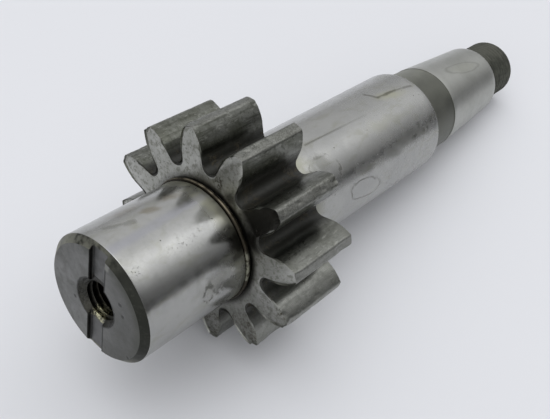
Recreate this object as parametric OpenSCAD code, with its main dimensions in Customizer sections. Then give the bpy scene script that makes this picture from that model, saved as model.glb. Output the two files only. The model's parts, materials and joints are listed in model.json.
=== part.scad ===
// Pinion shaft: a spur pinion keyed on a ground shaft and held by two wire snap rings.
// The shaft's axis is X, the slotted end points to -X and the threaded tail to +X.
// The origin is on the axis, in the pinion's middle plane. Two teeth straddle -Z.

/* [Journals] */
// Diameter of both bearing journals and of the pinion's seat
journal_d = 30; // [26:0.5:31]
// Length of the front journal, from the slotted end to the ring groove
front_journal_l = 29; // [15:0.5:60]
// Length of the rear journal, from the ring groove to the dark band
rear_journal_l = 58.8; // [20:0.2:120]
// Bevel round the slotted end
end_bevel = 1.5; // [0.5:0.1:2.5]

/* [Pinion] */
// Number of teeth
teeth = 12; // [12:1:14]
// Module of the teeth
tooth_module = 4; // [4:0.25:5]
// Pressure angle in degrees
pressure_angle = 20; // [20:0.5:22.5]
// Width of the teeth along the axis
face_w = 19.6; // [16:0.2:40]
// How far the round bottom of a tooth space lies below the pitch circle
root_depth = 5.2; // [4.8:0.1:5.3]
// Radius of the round bottom of a tooth space
root_radius = 2; // [1.8:0.1:2.1]

/* [Taper and tail] */
// Length of the dark turned band behind the rear journal
band_l = 13.5; // [6:0.5:30]
// How far the band lies below the line of the taper
band_drop = 0.15; // [0.05:0.05:0.4]
// Diameter of the taper at its large end
taper_d = 25.4; // [23:0.1:27]
// Length of the ground taper
taper_l = 28.9; // [24:0.1:40]
// Length over which the taper loses one unit of diameter
taper_ratio = 8; // [8:1:16]
// Outer diameter of the tail thread
thread_d = 18; // [12:0.5:19]
// Length of the threaded tail with its relief
thread_l = 15.8; // [10:0.1:30]
// Width of the relief between taper and thread
relief_w = 2; // [1:0.5:4]
// Depth of the relief below the thread's outer surface
relief_depth = 1; // [0.5:0.1:1.5]
// Bevel at the tail
tail_bevel = 1; // [0.5:0.1:1.5]
// Width of the half-moon keyseat in the taper
seat_w = 5; // [3:0.5:6]
// Diameter of the half-moon keyseat
seat_d = 19; // [12:0.5:22]
// Greatest depth of the half-moon keyseat
seat_depth = 5; // [2:0.5:6]

/* [Slotted end] */
// Width of the slot across the end
slot_w = 4.5; // [3:0.5:8]
// Depth of the slot
slot_depth = 1; // [0.5:0.1:3]
// Angle between the slot and the tooth space at the bottom
slot_turn = 2; // [0:1:15]
// Core diameter of the tapped centre hole
hole_d = 8.5; // [6:0.1:10]
// Depth of the tapped hole to its drill point
hole_depth = 26; // [12:1:28]
// Diameter of the bevelled mouth of the hole
mouth_d = 11.4; // [10.5:0.1:13]

/* [Key and rings] */
// Width of the parallel key
key_w = 6; // [4:0.5:6]
// Height of the parallel key
key_h = 6; // [4:0.5:6]
// Length of the parallel key over its round ends
key_l = 16; // [10:0.5:18]
// Depth of the key's bed in the shaft
key_bed = 3.5; // [2.5:0.1:3.6]
// Wire diameter of the snap rings
wire_d = 1.4; // [1:0.1:1.6]
// How far the wire stands above the journal
ring_proud = 0.6; // [0.4:0.1:0.7]
// Angle left open between the ends of a snap ring
ring_gap = 14; // [8:1:30]

/* [Hidden] */
$fn = 96;
// Clearance between pieces that touch
fit = 0.01;
// How far a cut runs past the surface that it opens
past = 1;
involute_steps = 10;
arc_steps = 8;
wire_sides = 24;
// Height of the cone at the bottom of the tapped hole
drill_point = 3;
// Free height above the key in the pinion's keyway
key_headroom = 0.2;
// How far above the base circle the involute starts
involute_start = 0.05;
centre_hole_d = 3.2;
centre_mouth_d = 6.7;
centre_depth = 6;
centre_point = 1;
half_face = face_w / 2;
journal_r = journal_d / 2;
groove_w = wire_d + 2 * fit;
groove_r = journal_r + ring_proud - wire_d - fit;
front_x = -half_face - groove_w - front_journal_l;
rear_groove_x = half_face + groove_w;
band_x = rear_groove_x + rear_journal_l;
taper_x = band_x + band_l;
thread_x = taper_x + taper_l;
tail_x = thread_x + thread_l;
taper_r = taper_d / 2;
taper_end_r = taper_r - taper_l / taper_ratio / 2;
band_r = taper_r + band_l / taper_ratio / 2 - band_drop;
thread_r = thread_d / 2;
pitch_r = tooth_module * teeth / 2;
tip_r = pitch_r + tooth_module;
base_r = pitch_r * cos(pressure_angle);
flank_r = base_r + involute_start;
root_centre_r = pitch_r - root_depth + root_radius;
tooth_pitch = 360 / teeth;
first_tooth = -90 + tooth_pitch / 2;
key_angle = first_tooth + 6 * tooth_pitch;

// Involute function of an angle, in degrees
function inv(a) = tan(a) * 180 / PI - a;

// Angle from the tooth's middle to its flank, at radius r
function half_tooth(r) = tooth_pitch / 4 + inv(pressure_angle) - inv(acos(base_r / r));

// Angle from the middle of a tooth space to the flank, at radius r
function half_space(r) = tooth_pitch / 2 - half_tooth(r);

function polar(r, a) = [r * cos(a), r * sin(a)];

// The lowest flank point, seen from the centre of the round root, along and across the space
root_reach = [flank_r * cos(half_space(flank_r)) - root_centre_r, flank_r * sin(half_space(flank_r))];
root_open = atan2(root_reach[1], root_reach[0]) + acos(root_radius / norm(root_reach));

// The round bottom of the tooth space in direction a
function space_root(a) = [
    for (i = [0 : 2 * arc_steps])
        polar(root_centre_r, a) + polar(root_radius, a - root_open - i * (180 - root_open) / arc_steps)
];

// One side of the space in direction a: side -1 runs down from the tip, side 1 runs up to it
function space_side(a, side) = [
    for (i = [0 : involute_steps])
        let (k = side > 0 ? i : involute_steps - i)
        let (r = flank_r + (tip_r - flank_r) * k / involute_steps)
        polar(r, a + side * half_space(r))
];

// A tooth space and the middle of the next tooth's tip
function tooth_space(a) = concat(
    space_side(a, -1), space_root(a), space_side(a, 1), [polar(tip_r, a + tooth_pitch / 2)]
);

// The outline of all the teeth
function tooth_outline() = [
    for (i = [0 : teeth - 1], p = tooth_space(first_tooth + (i + 0.5) * tooth_pitch)) p
];

// Turns a shape made along +Z so that it lies along +X
module along_x() {
    rotate([0, 90, 0]) children();
}

// A turned body, from a list of [x, radius] points
module turned(points) {
    along_x() rotate_extrude() polygon([for (p = points) [p[1], p[0]]]);
}

// The outside of the shaft, bevels included
module shaft_outside() {
    turned([
        [front_x, 0],
        [front_x, journal_r - end_bevel],
        [front_x + end_bevel, journal_r],
        [-half_face - groove_w, journal_r],
        [-half_face - groove_w, groove_r],
        [-half_face, groove_r],
        [-half_face, journal_r],
        [half_face, journal_r],
        [half_face, groove_r],
        [rear_groove_x, groove_r],
        [rear_groove_x, journal_r],
        [band_x, journal_r],
        [band_x, band_r],
        [taper_x, taper_r - band_drop],
        [taper_x, taper_r],
        [thread_x, taper_end_r],
        [thread_x, thread_r - relief_depth],
        [thread_x + relief_w, thread_r - relief_depth],
        [thread_x + relief_w + relief_depth, thread_r],
        [tail_x - tail_bevel, thread_r],
        [tail_x, thread_r - tail_bevel],
        [tail_x, 0]
    ]);
}

// The tapped hole with its bevelled mouth and drill point
module tapped_hole() {
    mouth_r = mouth_d / 2;
    hole_r = hole_d / 2;
    turned([
        [front_x - past, 0],
        [front_x - past, mouth_r],
        [front_x, mouth_r],
        [front_x + mouth_r - hole_r, hole_r],
        [front_x + hole_depth, hole_r],
        [front_x + hole_depth + drill_point, 0]
    ]);
}

// The small centre hole in the tail
module centre_hole() {
    turned([
        [tail_x + past, 0],
        [tail_x + past, centre_mouth_d / 2],
        [tail_x, centre_mouth_d / 2],
        [tail_x - centre_mouth_d / 2, centre_hole_d / 2],
        [tail_x - centre_depth, centre_hole_d / 2],
        [tail_x - centre_depth - centre_point, 0]
    ]);
}

// The slot across the front end
module end_slot() {
    translate([front_x - past, 0, 0]) rotate([slot_turn, 0, 0])
        translate([0, -slot_w / 2, -journal_d])
            cube([past + slot_depth, slot_w, 2 * journal_d]);
}

// The half-moon keyseat, on the +Y side of the taper
module taper_seat() {
    seat_x = taper_x + taper_l / 2;
    seat_surface = taper_r - taper_l / taper_ratio / 4;
    translate([seat_x, seat_surface - seat_depth + seat_d / 2, -seat_w / 2])
        cylinder(d = seat_d, h = seat_w);
}

// A block with round ends, as long as the key, standing along +Z from z0 to z1
module key_block(w, l, z0, z1) {
    translate([0, 0, z0]) linear_extrude(z1 - z0) {
        square([l - w, w], center = true);
        for (side = [-1, 1]) translate([side * (l - w) / 2, 0]) circle(d = w);
    }
}

// Stands a shape on the shaft in the direction of the key
module at_key() {
    rotate([key_angle - 90, 0, 0]) children();
}

module shaft() {
    color("#8d8f90") difference() {
        shaft_outside();
        tapped_hole();
        centre_hole();
        end_slot();
        taper_seat();
        at_key() key_block(key_w + 2 * fit, key_l + 2 * fit, journal_r - key_bed, journal_d);
    }
}

module pinion() {
    keyway_top = journal_r - key_bed + key_h + key_headroom;
    color("#6f716d") difference() {
        translate([-half_face, 0, 0]) along_x() rotate([0, 0, 90])
            linear_extrude(face_w) polygon(tooth_outline());
        translate([-half_face - past, 0, 0]) along_x()
            cylinder(r = journal_r + fit, h = face_w + 2 * past);
        at_key() translate([-half_face - past, -key_w / 2 - fit, 0])
            cube([face_w + 2 * past, key_w + 2 * fit, keyway_top]);
    }
}

module pinion_key() {
    color("#5c5d5e") at_key()
        key_block(key_w, key_l, journal_r - key_bed + fit, journal_r - key_bed + key_h);
}

// A snap ring of round wire, open towards +Y
module snap_ring() {
    along_x() rotate([0, 0, 90 + ring_gap / 2]) rotate_extrude(angle = 360 - ring_gap)
        translate([journal_r + ring_proud - wire_d / 2, 0]) circle(d = wire_d, $fn = wire_sides);
}

module front_retaining_ring() {
    color("#7d6a52") translate([-half_face - groove_w / 2, 0, 0]) snap_ring();
}

module rear_retaining_ring() {
    color("#7d6a52") translate([half_face + groove_w / 2, 0, 0]) snap_ring();
}

shaft();
pinion();
pinion_key();
front_retaining_ring();
rear_retaining_ring();
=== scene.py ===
import json
from math import acos, atan, atan2, ceil, cos, hypot, pi, radians, sin, tan

import bmesh
import bpy
import numpy as np
from mathutils import Matrix, Vector


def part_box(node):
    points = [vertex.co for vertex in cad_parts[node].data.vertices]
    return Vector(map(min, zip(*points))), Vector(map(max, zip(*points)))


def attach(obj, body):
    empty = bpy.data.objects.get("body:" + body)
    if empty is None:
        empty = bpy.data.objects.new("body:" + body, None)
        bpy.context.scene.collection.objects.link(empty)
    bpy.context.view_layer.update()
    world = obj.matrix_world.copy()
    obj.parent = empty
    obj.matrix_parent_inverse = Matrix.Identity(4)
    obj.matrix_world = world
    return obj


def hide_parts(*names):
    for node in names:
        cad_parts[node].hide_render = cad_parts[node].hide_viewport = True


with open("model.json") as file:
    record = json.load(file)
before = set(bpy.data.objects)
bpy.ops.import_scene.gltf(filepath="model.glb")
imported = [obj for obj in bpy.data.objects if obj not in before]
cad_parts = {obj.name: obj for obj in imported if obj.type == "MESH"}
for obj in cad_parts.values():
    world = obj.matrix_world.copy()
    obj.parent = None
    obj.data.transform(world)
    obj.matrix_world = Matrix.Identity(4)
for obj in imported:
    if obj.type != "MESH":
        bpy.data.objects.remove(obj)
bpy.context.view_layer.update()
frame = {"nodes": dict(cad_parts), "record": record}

# --- Sizes. Lengths of the object are in millimetres, and become metres when a mesh is made.

MM = 0.001
MOUNTS = {m["name"]: m for m in frame["record"]["mounts"]}


def low_high(node):
    """The lowest and highest corner of a CAD node, in millimetres."""
    low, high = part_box(node)
    return [v / MM for v in low], [v / MM for v in high]


def mount_span(name):
    """Where a round mount starts and ends along the shaft, in millimetres."""
    middle = MOUNTS[name]["pos_m"][0] / MM
    half = MOUNTS[name]["dims"]["length_mm"] / 2
    return middle - half, middle + half


(FRONT_X, _, _), (TAIL_X, _, _) = low_high("shaft")
HALF_FACE = low_high("pinion")[1][0]
JOURNAL_R = MOUNTS["rear_journal"]["dims"]["r_mm"]
BEVEL_END_X, FRONT_GROOVE_X = mount_span("front_journal")
REAR_GROOVE_X, BAND_X = mount_span("rear_journal")
THREAD_START_X, THREAD_END_X = mount_span("tail_thread")
THREAD_R = MOUNTS["tail_thread"]["dims"]["r_mm"]
HOLE_CORE_R = MOUNTS["tapped_hole"]["dims"]["r_mm"]
HOLE_END_X = mount_span("tapped_hole")[1]

END_BEVEL = BEVEL_END_X - FRONT_X
BAND_L = 13.5
BAND_DROP = 0.15
TAPER_X = BAND_X + BAND_L
TAPER_L = 28.9
TAPER_R = 12.7
TAPER_RATIO = 8.0
TAPER_END_X = TAPER_X + TAPER_L
TAPER_END_R = TAPER_R - TAPER_L / TAPER_RATIO / 2
BAND_R = TAPER_R + BAND_L / TAPER_RATIO / 2 - BAND_DROP
SEAT_D = 19.0
SEAT_W = 5.0
SEAT_DEPTH = 5.0
RELIEF_DEPTH = 1.0
RELIEF_R = THREAD_R - RELIEF_DEPTH
RELIEF_END_X = THREAD_START_X - RELIEF_DEPTH
TAIL_BEVEL = TAIL_X - THREAD_END_X
TAIL_PITCH = 1.5
TAIL_THREAD_DEPTH = 0.87

TEETH = 12
MODULE = 4.0
PRESSURE_ANGLE = radians(20)
ROOT_DEPTH = 5.2
ROOT_RADIUS = 2.0
PITCH_R = TEETH * MODULE / 2
TIP_R = PITCH_R + MODULE
BASE_R = PITCH_R * cos(PRESSURE_ANGLE)
FLANK_R = BASE_R + 0.05
ROOT_CENTRE_R = PITCH_R - ROOT_DEPTH + ROOT_RADIUS
TOOTH_PITCH = 2 * pi / TEETH
FIRST_TOOTH = -pi / 2 + TOOTH_PITCH / 2
PINION_BORE_R = JOURNAL_R + 0.01
TOOTH_RIM = 0.28

SLOT_W = 4.5
SLOT_DEPTH = 1.0
SLOT_TURN = radians(2)
HOLE_MOUTH_R = 5.7
HOLE_PITCH = 1.5
HOLE_THREAD_DEPTH = 0.86
HOLE_RUNOUT = 0.9
DRILL_POINT = 3.0
CENTRE_R = 1.6
CENTRE_MOUTH_R = 3.35
CENTRE_DEPTH = 6.0
CENTRE_POINT = 1.0
# How far a cut runs past the surface that it opens
PAST = 1.0

WIRE_R = 0.55
RING_R = 14.9
RING_GAP = radians(14)
GROOVE_R = 14.2

# The shaft lies on two tooth tips and the edge of its tail, so the floor leans against the axis.
REST_R = low_high("pinion")[1][2]
LEAN = atan((REST_R - THREAD_R) / (TAIL_X - HALF_FACE))


# --- Mesh helpers


def linked(name, mesh):
    """An object in the scene, from a mesh."""
    obj = bpy.data.objects.new(name, mesh)
    bpy.context.scene.collection.objects.link(obj)
    return obj


def mesh_of(name, verts, faces):
    """A mesh from millimetre points."""
    mesh = bpy.data.meshes.new(name)
    mesh.from_pydata((np.asarray(verts, float) * MM).tolist(), [], faces)
    return mesh


def make_object(name, verts, faces, smooth_angle=38.0):
    """A mesh object from millimetre points, smooth shaded with sharp edges over an angle."""
    mesh = mesh_of(name, verts, faces)
    mesh.validate(clean_customdata=False)
    obj = linked(name, mesh)
    tidy_mesh(obj, smooth_angle)
    return obj


def tidy_mesh(obj, smooth_angle=38.0):
    """Merges doubles, points the faces outwards and sets the shading."""
    bm = bmesh.new()
    bm.from_mesh(obj.data)
    bmesh.ops.remove_doubles(bm, verts=bm.verts, dist=1e-7)
    bmesh.ops.dissolve_degenerate(bm, edges=bm.edges, dist=1e-8)
    bmesh.ops.recalc_face_normals(bm, faces=bm.faces)
    bm.to_mesh(obj.data)
    bm.free()
    obj.data.shade_smooth()
    obj.data.set_sharp_from_angle(angle=radians(smooth_angle))


def set_materials(obj, *materials):
    """Gives an object these materials and no others."""
    obj.data.materials.clear()
    for material in materials:
        obj.data.materials.append(material)


def joined(count, width, looped=False):
    """Faces between rows of points that close on themselves. Looped, the last row joins the first."""
    faces = []
    for i in range(count if looped else count - 1):
        a, b = i * width, (i + 1) % count * width
        for j in range(width):
            k = (j + 1) % width
            faces.append((a + j, a + k, b + k, b + j))
    return faces


def ring_grid(rows):
    """Points and faces of a solid made of rows that close on themselves, with a fan at each end."""
    count, width = len(rows), len(rows[0])
    verts = [p for row in rows for p in row]
    faces = joined(count, width)
    for i in (0, count - 1):
        verts.append(tuple(np.mean(np.asarray(rows[i]), axis=0)))
        hub = len(verts) - 1
        faces += [(hub, i * width + j, i * width + (j + 1) % width) for j in range(width)]
    return verts, faces


def polar(r, a):
    """A (y, z) point at a radius and an angle."""
    return np.array((r * cos(a), r * sin(a)))


def rounded(points, steps=4):
    """A line of points with each inner corner, given as (x, r, corner radius), rounded by a small arc."""
    out = [points[0]]
    for before, here, after in zip(points, points[1:], points[2:]):
        p0, p1, p2 = (np.array(p[:2], float) for p in (before, here, after))
        a, b = p0 - p1, p2 - p1
        reach = min(here[2], np.linalg.norm(a) * 0.45, np.linalg.norm(b) * 0.45)
        start, end = p1 + a / np.linalg.norm(a) * reach, p1 + b / np.linalg.norm(b) * reach
        for i in range(steps + 1):
            t = i / steps
            out.append(tuple((1 - t) ** 2 * start + 2 * t * (1 - t) * p1 + t * t * end))
    out.append(points[-1])
    return [(p[0], p[1]) for p in out]


def turned(name, profile, segments=96):
    """A solid of revolution about X, from (x, r) points. Points on the axis are left to the end fans."""
    angles = [2 * pi * j / segments for j in range(segments)]
    rows = [[(x, *polar(r, a)) for a in angles] for x, r in profile if r > 1e-6]
    return make_object(name, *ring_grid(rows))


def thread_rows(x0, x1, pitch, segments, radius_at, steps=14):
    """A screw surface: radius_at(phase, x) gives the radius, and the rows follow the helix."""
    turns = ceil((x1 - x0) / pitch) + 1
    count = (turns + 1) * steps + 1
    verts, faces = [], []
    for i in range(-steps, turns * steps + 1):
        for j in range(segments):
            a = 2 * pi * j / segments
            x = x0 + pitch * (i / steps + j / segments)
            x = min(max(x, x0), x1)
            verts.append((x, *polar(radius_at((i % steps) / steps, x), a)))
    for i in range(count - 1):
        for j in range(segments - 1):
            a = i * segments + j
            faces.append((a, a + 1, a + segments + 1, a + segments))
        if i + 1 + steps < count:
            a, b = i * segments + segments - 1, (i + steps) * segments
            faces.append((a, b, b + segments, a + segments))
    return verts, faces


def screw(name, x0, x1, pitch, segments, radius_at):
    """A solid screw: the surface of thread_rows() with both ends closed."""
    mesh = mesh_of(name, *thread_rows(x0, x1, pitch, segments, radius_at))
    bm = bmesh.new()
    bm.from_mesh(mesh)
    bmesh.ops.remove_doubles(bm, verts=bm.verts, dist=2e-6)
    bmesh.ops.dissolve_degenerate(bm, edges=bm.edges, dist=1e-6)
    bmesh.ops.holes_fill(bm, edges=[e for e in bm.edges if e.is_boundary], sides=0)
    bmesh.ops.recalc_face_normals(bm, faces=bm.faces)
    bm.to_mesh(mesh)
    bm.free()
    return linked(name, mesh)


def cut(target, cutter, operation="DIFFERENCE"):
    """Applies a boolean and removes the cutter."""
    modifier = target.modifiers.new("cut", "BOOLEAN")
    modifier.operation = operation
    modifier.solver = "MANIFOLD"
    modifier.object = cutter
    graph = bpy.context.evaluated_depsgraph_get()
    mesh = bpy.data.meshes.new_from_object(target.evaluated_get(graph))
    target.modifiers.clear()
    old = target.data
    target.data = mesh
    bpy.data.meshes.remove(old)
    bpy.data.objects.remove(cutter)


# --- Shaft


def thread_depth(phase, depth, crest=0.14, root=0.16):
    """Depth below the crest of a rounded V thread, for a phase from 0 to 1."""
    t = abs(phase - 0.5) * 2
    t = min(max((t - root) / (1 - root - crest), 0.0), 1.0)
    return depth * (1 - (t * t * (3 - 2 * t) * 0.35 + t * 0.65))


def smooth_step(low, high, x):
    """0 below low, 1 above high, and a smooth change between."""
    t = min(max((x - low) / (high - low), 0.0), 1.0)
    return t * t * (3 - 2 * t)


def shaft_body():
    """The turned outside of the shaft, ending just inside the thread. Third values are corner radii."""
    end_x = RELIEF_END_X + 0.6
    points = [
        (FRONT_X, 0.0),
        (FRONT_X, JOURNAL_R - END_BEVEL, 0.12),
        (BEVEL_END_X, JOURNAL_R, 0.12),
        (FRONT_GROOVE_X, JOURNAL_R, 0.18),
        (FRONT_GROOVE_X, GROOVE_R, 0.15),
        (-HALF_FACE, GROOVE_R, 0.15),
        (-HALF_FACE, JOURNAL_R, 0.05),
        (HALF_FACE, JOURNAL_R, 0.05),
        (HALF_FACE, GROOVE_R, 0.15),
        (REAR_GROOVE_X, GROOVE_R, 0.15),
        (REAR_GROOVE_X, JOURNAL_R, 0.18),
        (BAND_X, JOURNAL_R, 0.22),
        (BAND_X, BAND_R, 0.3),
        (TAPER_X, TAPER_R - BAND_DROP, 0.05),
        (TAPER_X, TAPER_R, 0.08),
        (TAPER_END_X, TAPER_END_R, 0.35),
        (TAPER_END_X, RELIEF_R, 0.4),
        (RELIEF_END_X, RELIEF_R, 0.3),
        (end_x, RELIEF_R, 0.1),
        (end_x, 0.0),
    ]
    profile = rounded(points)
    dense = [profile[0]]
    for (x0, r0), (x1, r1) in zip(profile, profile[1:]):
        steps = max(1, int(hypot(x1 - x0, r1 - r0) / 1.6))
        dense += [(x0 + (x1 - x0) * i / steps, r0 + (r1 - r0) * i / steps) for i in range(1, steps + 1)]
    return turned("shaft_ground", dense, 240)


def tail_screw():
    """The threaded tail, from inside the relief to the bevelled end."""

    def radius(phase, x):
        if x <= RELIEF_END_X + 1e-6 or x >= TAIL_X - 1e-6:
            return RELIEF_R
        rise = smooth_step(RELIEF_END_X, RELIEF_END_X + 1.2, x)
        crest = THREAD_R - RELIEF_DEPTH * (1 - rise)
        crest = min(crest, THREAD_R - max(0.0, x - (TAIL_X - TAIL_BEVEL)) * 0.98)
        return max(min(crest, THREAD_R - thread_depth(phase, TAIL_THREAD_DEPTH)), RELIEF_R)

    return screw("tail_screw", RELIEF_END_X, TAIL_X, TAIL_PITCH, 160, radius)


def hole_screw():
    """The space inside the tapped hole, with its bevelled mouth."""
    out_x = FRONT_X - PAST
    end_x = HOLE_END_X + HOLE_RUNOUT
    widest = HOLE_MOUTH_R + 0.05

    def radius(phase, x):
        if x <= out_x + 1e-6:
            return widest
        if x >= end_x - 1e-6:
            return HOLE_CORE_R
        depth = HOLE_THREAD_DEPTH - thread_depth(phase, HOLE_THREAD_DEPTH)
        r = HOLE_CORE_R + depth * smooth_step(end_x, end_x - 3.0, x)
        return max(r, min(HOLE_MOUTH_R - (x - FRONT_X), widest))

    return screw("hole_screw", out_x, end_x, HOLE_PITCH, 120, radius)


def drill_point():
    """The plain end of the tapped hole and its cone."""
    r, cone_x = HOLE_CORE_R - 0.02, HOLE_END_X + HOLE_RUNOUT
    return turned("drill_point", [(HOLE_END_X, r), (cone_x, r), (cone_x + DRILL_POINT, 0.05)])


def centre_drill():
    """The small centre hole in the tail."""
    return turned("centre_drill", [
        (TAIL_X + PAST, CENTRE_MOUTH_R + PAST),
        (TAIL_X, CENTRE_MOUTH_R),
        (TAIL_X - CENTRE_MOUTH_R + CENTRE_R, CENTRE_R),
        (TAIL_X - CENTRE_DEPTH, CENTRE_R),
        (TAIL_X - CENTRE_DEPTH - CENTRE_POINT, 0.05),
    ])


def slot_cutter():
    """A bar with a flared mouth, so that the slot's upper edges come out rounded."""
    half, flare, corner = SLOT_W / 2, 0.16, 0.3
    side = [(-PAST, half + flare * 1.6), (0.0, half + flare)]
    side += [(flare * sin(t), half + flare * (1 - sin(t)))
             for t in np.linspace(0.2, pi / 2, 4)]
    side += [(SLOT_DEPTH - corner + corner * sin(t), half - corner + corner * cos(t))
             for t in np.linspace(0, pi / 2, 5)]
    outline = side + [(d, -w) for d, w in reversed(side)]
    turn = Matrix.Rotation(SLOT_TURN, 3, "X")
    rows = [[tuple(turn @ Vector((FRONT_X + d, w, z))) for d, w in outline] for z in np.linspace(-20, 20, 41)]
    return make_object("slot_cutter", *ring_grid(rows))


def seat_cutter():
    """The disc that leaves the half-moon keyseat in the +Y side of the taper."""
    x, y = (TAPER_X + TAPER_END_X) / 2, (TAPER_R + TAPER_END_R) / 2 - SEAT_DEPTH + SEAT_D / 2
    disc = [(x + SEAT_D / 2 * cos(a), y + SEAT_D / 2 * sin(a))
            for a in np.linspace(0, 2 * pi, 97)[:-1]]
    rows = [[(px, py, z) for px, py in disc] for z in (-SEAT_W / 2, SEAT_W / 2)]
    return make_object("seat_cutter", *ring_grid(rows))


def build_shaft():
    """The turned body with its thread, holes, slot and keyseat."""
    body = shaft_body()
    cut(body, tail_screw(), "UNION")
    for cutter in (hole_screw, drill_point, centre_drill, slot_cutter, seat_cutter):
        cut(body, cutter())
    tidy_mesh(body)
    return body


# --- Pinion


def involute(angle):
    """The involute function of a pressure angle."""
    return tan(angle) - angle


def half_space(r):
    """Angle from the middle of a tooth space to the flank at radius r."""
    half_tooth = TOOTH_PITCH / 4 + involute(PRESSURE_ANGLE) - involute(acos(BASE_R / r))
    return TOOTH_PITCH / 2 - half_tooth


def space_outline():
    """One tooth space from tip to tip, as (y, z) points about the direction +Y."""
    root_centre = np.array((ROOT_CENTRE_R, 0.0))
    side = [polar(r, half_space(r)) for r in np.linspace(FLANK_R, TIP_R, 24)]
    reach = side[0] - root_centre
    opening = atan2(reach[1], reach[0]) + acos(ROOT_RADIUS / np.linalg.norm(reach))
    root = [root_centre + polar(ROOT_RADIUS, t) for t in np.linspace(opening, 2 * pi - opening, 22)]
    straight = [root[0] + (side[0] - root[0]) * t for t in np.linspace(0, 1, 7)[1:-1]]
    upper = straight + side
    lower = [p * (1, -1) for p in reversed(upper)]
    tip_start = half_space(TIP_R)
    tip = [polar(TIP_R, a) for a in np.linspace(tip_start, TOOTH_PITCH - tip_start, 8)[1:-1]]
    return lower + list(reversed(root)) + upper + tip


def tooth_outline():
    """The whole outline, with its sharp corners eased a little."""
    one = np.array(space_outline())
    points = []
    for i in range(TEETH):
        a = FIRST_TOOTH + TOOTH_PITCH / 2 + i * TOOTH_PITCH
        turn = np.array(((cos(a), sin(a)), (-sin(a), cos(a))))
        points.append(one @ turn)
    points = np.vstack(points)
    return 0.5 * points + 0.25 * (np.roll(points, 1, 0) + np.roll(points, -1, 0))


def outline_normals(points):
    """Unit directions across a closed outline, pointing outwards."""
    ahead = np.roll(points, -1, 0) - np.roll(points, 1, 0)
    normals = np.stack((ahead[:, 1], -ahead[:, 0]), 1)
    return normals / np.linalg.norm(normals, axis=1)[:, None]


# Nicks in the teeth: place along X, tooth angle in degrees, radius, reach and depth.
# A lip that stands out has a negative depth.
NICKS = (
    (-9.6, 101.5, 27.4, 1.1, 0.55), (-9.4, 107.0, 27.6, 0.7, -0.18), (-7.2, 104.0, 27.9, 0.9, 0.22),
    (-9.7, 171.5, 27.2, 1.2, 0.45), (-9.5, 164.0, 27.8, 0.8, 0.35), (6.4, 166.0, 27.9, 1.4, 0.3),
    (-9.6, 198.0, 27.3, 1.3, 0.6), (-8.2, 193.0, 27.8, 0.8, 0.3), (-9.7, 190.5, 26.4, 0.8, 0.4),
    (-9.7, 226.0, 27.7, 0.9, 0.75), (-9.2, 223.0, 27.6, 0.6, -0.3), (-4.0, 225.0, 27.9, 1.5, 0.25),
    (-9.7, 73.0, 27.8, 0.6, 0.2), (9.6, 77.0, 27.8, 0.8, 0.3), (9.5, 134.0, 27.8, 1.0, 0.3),
    (-9.7, 136.5, 27.6, 0.7, 0.25), (3.0, 135.0, 28.0, 1.1, 0.18), (-9.7, 44.0, 27.8, 0.6, 0.2),
)


def value_noise(points, size, seed):
    """Smooth noise from -1 to 1 at each point, with features about size millimetres across."""
    rng = np.random.default_rng(seed)
    total = np.zeros(len(points))
    for _ in range(5):
        direction = rng.normal(size=3)
        direction /= np.linalg.norm(direction)
        total += np.sin(points @ direction * (2 * pi / size) * rng.uniform(0.6, 1.5)
                        + rng.uniform(0, 2 * pi))
    return total / 2.6


def worn(points):
    """Pulls points of the teeth in by small random nicks along the tips and by the larger ones."""
    radius = np.hypot(points[:, 1], points[:, 2])
    at_tip = np.clip((radius - (TIP_R - 1.5)) / 1.2, 0, 1)
    rough = 0.55 * value_noise(points, 3.1, 5) + 0.45 * value_noise(points, 1.3, 6)
    depth = at_tip * np.clip(rough - 0.25, 0, 1) * 0.28
    for x, angle, r, reach, size in NICKS:
        centre = np.array((x, *polar(r, radians(angle))))
        depth += size * np.exp(-(np.linalg.norm(points - centre, axis=1) / reach) ** 2)
    moved = points.copy()
    moved[:, 1:] *= (1 - depth / np.maximum(radius, 1))[:, None]
    return moved


def build_pinion():
    """The pinion in rows of points along the shaft, with a fine dished rim round both toothed faces."""
    outline = tooth_outline()
    normals = outline_normals(outline)
    inner = outline - normals * TOOTH_RIM
    bore = PINION_BORE_R * outline / np.linalg.norm(outline, axis=1)[:, None]
    half = [(0.0, inner + (bore - inner) * t) for t in (1.0, 0.9, 0.72, 0.5, 0.3, 0.14)]
    half += [(d, outline - normals * d) for d in TOOTH_RIM * (1 - np.sin(np.linspace(0, pi / 2, 5)))]
    rows = [(-HALF_FACE + d, ring) for d, ring in half]
    rows += [(x, outline) for x in np.linspace(-HALF_FACE + TOOTH_RIM, HALF_FACE - TOOTH_RIM, 50)[1:-1]]
    rows += [(HALF_FACE - d, ring) for d, ring in reversed(half)]
    width = len(outline)
    verts = np.vstack([np.column_stack((np.full(width, x), ring)) for x, ring in rows])
    return make_object("pinion_teeth", worn(verts), joined(len(rows), width, looped=True), 50.0)


# --- Snap rings


def build_ring(name, x, material):
    """Round wire bent to an open ring. Its cut ends are rounded: a few lengths with their thickness."""
    stations, around = 220, 18
    start, end = RING_GAP / 2, 2 * pi - RING_GAP / 2
    ends = [(0.0, 0.55), (0.15, 0.85), (0.4, 1.0)]
    spots = [(start + s / RING_R, k) for s, k in ends]
    spots += [(a, 1.0) for a in np.linspace(start, end, stations)[2:-2]]
    spots += [(end - s / RING_R, k) for s, k in reversed(ends)]
    circle = [(WIRE_R * sin(b), WIRE_R * cos(b)) for b in np.arange(around) * 2 * pi / around]
    rows = [[(x + k * u, *polar(RING_R + k * v, a)) for u, v in circle] for a, k in spots]
    ring = make_object(name, *ring_grid(rows))
    set_materials(ring, material)
    return ring


# --- Materials. Every texture is worked out from the object's own coordinates in millimetres.


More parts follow.
